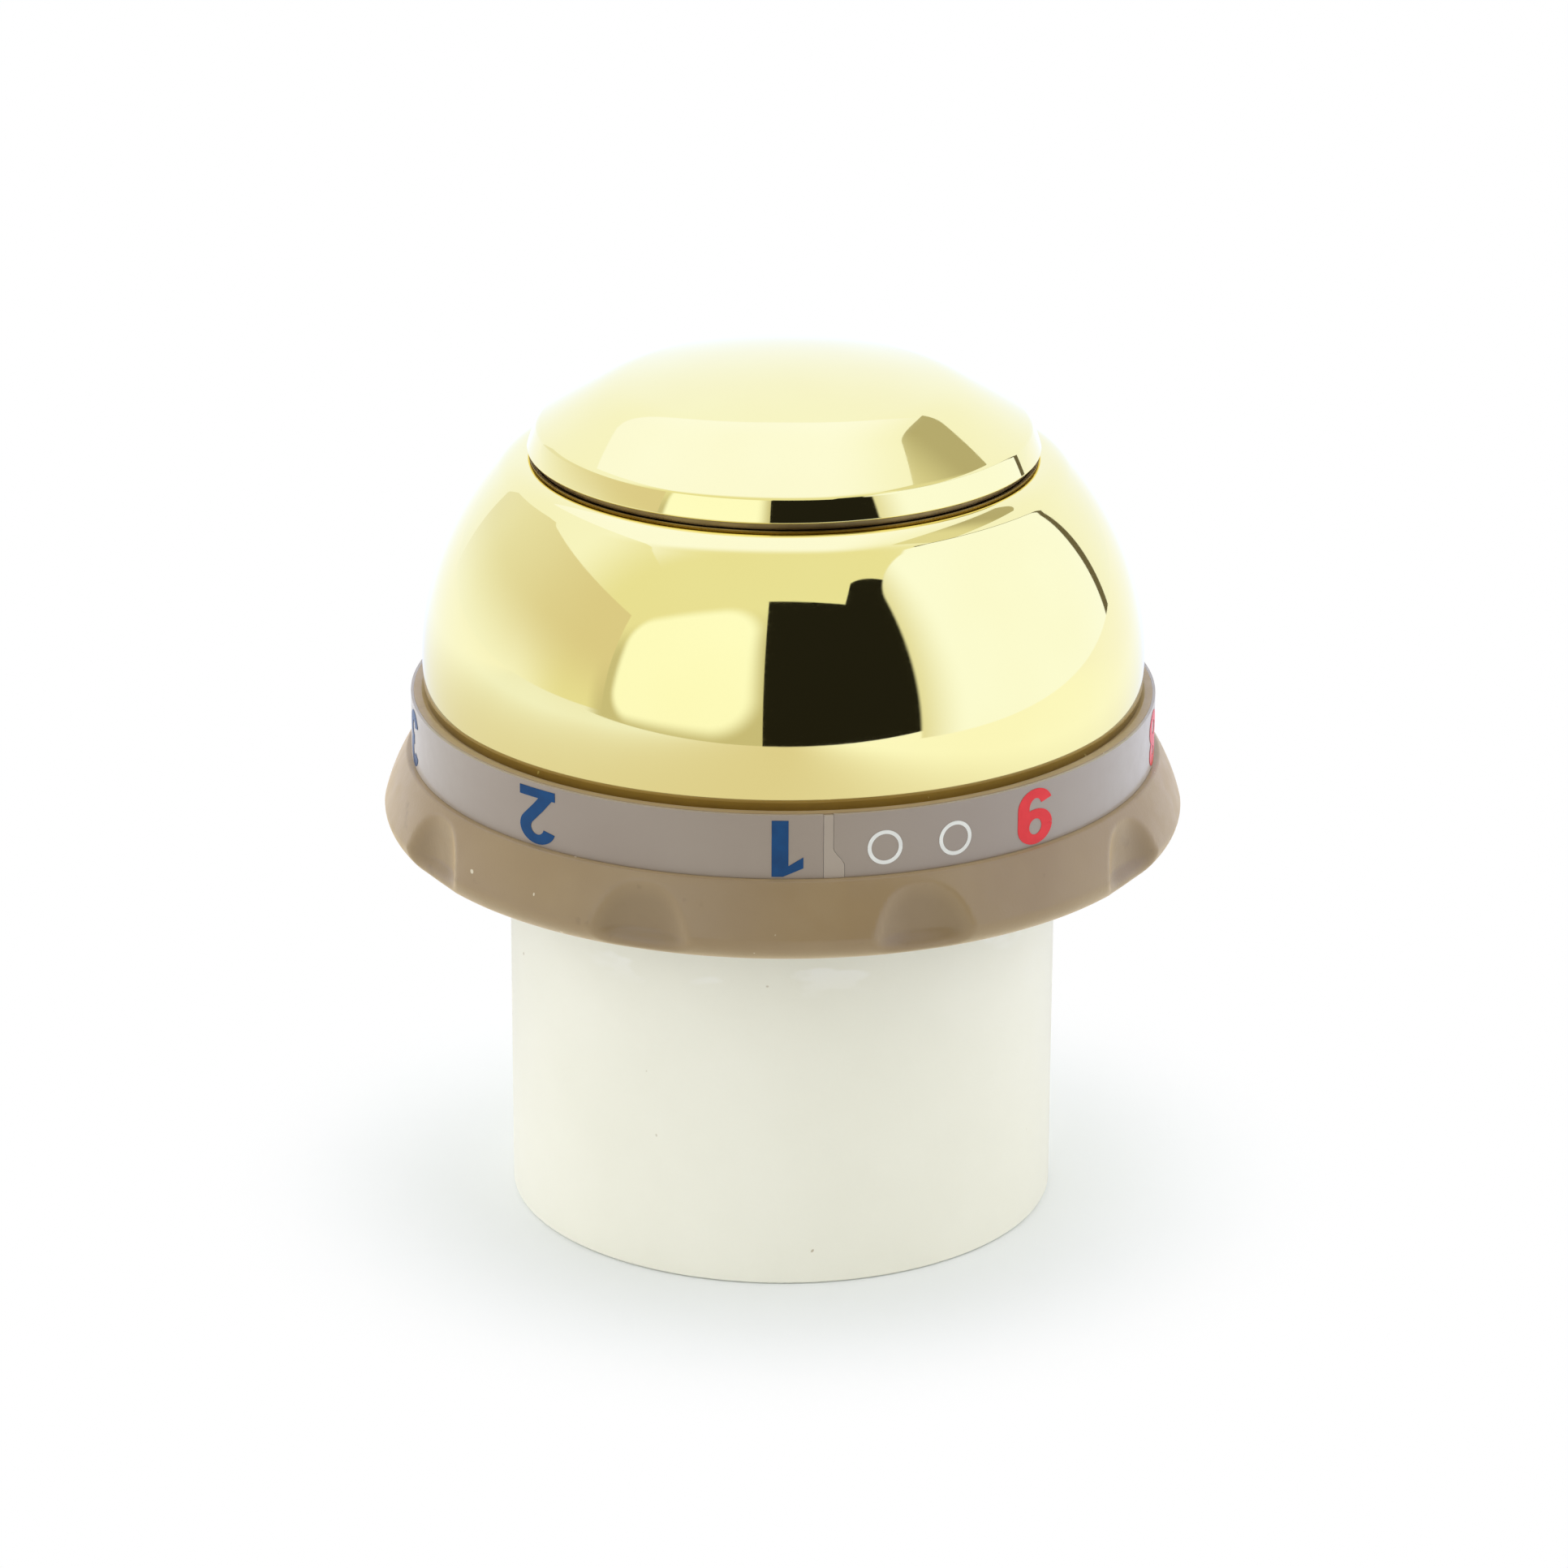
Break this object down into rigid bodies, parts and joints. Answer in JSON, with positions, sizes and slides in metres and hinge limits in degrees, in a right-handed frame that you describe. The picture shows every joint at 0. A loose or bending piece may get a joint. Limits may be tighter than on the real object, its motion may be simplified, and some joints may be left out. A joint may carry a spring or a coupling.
{
  "type": "mixing valve control knob",
  "caption": "Wall-mounted shower mixing-valve control: white mounting sleeve, scalloped temperature ring with a number band, domed brass flow knob and brass screw cap.",
  "frame": {"origin": "centre of the sleeve's foot, where it meets the wall or valve", "axes": "+Z along the common turning axis, away from the wall; -Y is the side the picture is taken from"},
  "size_m": [0.0634, 0.0632, 0.0689],
  "materials": {
    "white_plastic": "fine matte moulding, off-white",
    "taupe_plastic": "satin taupe moulding",
    "band_print": "satin grey-taupe strip with printed numbers",
    "polished_brass": "mirror polished, lacquered",
    "turned_brass": "turned",
    "steel": "bright zinc",
    "acetal": "natural white",
    "dark_plastic": "dark moulding",
    "rubber": "black nitrile"
  },
  "bodies": {
    "mount": {"mounting_sleeve": "white_plastic", "mounting_screw_left": "steel", "mounting_screw_right": "steel", "bearing_bush": "acetal", "sleeve_o_ring_lower": "rubber", "sleeve_o_ring_upper": "rubber"},
    "dial": {"grip_ring": "taupe_plastic", "number_band": "band_print", "dial_hub": "turned_brass", "limit_stop_ring": "dark_plastic", "hub_clip_upper": "steel", "hub_clip_lower": "steel", "hub_thrust_washer": "acetal", "hub_o_ring": "rubber"},
    "knob": {"knob_dome": "polished_brass", "knob_insert": "dark_plastic", "flow_stem": "turned_brass", "knob_screw": "steel", "lock_washer": "steel", "stem_clip": "steel", "stem_thrust_washer": "acetal", "stem_o_ring_upper": "rubber", "stem_o_ring_lower": "rubber"},
    "cap": {"screw_cap": "polished_brass", "cap_plug": "dark_plastic", "cap_o_ring": "rubber"}
  },
  "joints": [
    {"name": "dial_turn", "type": "hinge", "parent": "mount", "child": "dial", "pos_m": [0, 0, 0.0368], "axis": [0, 0, 1], "range_deg": [0, 320]},
    {"name": "flow_turn", "type": "hinge", "parent": "mount", "child": "knob", "pos_m": [0, 0, 0.045], "axis": [0, 0, 1], "range_deg": [0, 90]},
    {"name": "cap_lift", "type": "slide", "parent": "knob", "child": "cap", "axis": [0, 0, 1], "range_m": [0, 0.018]}
  ]
}
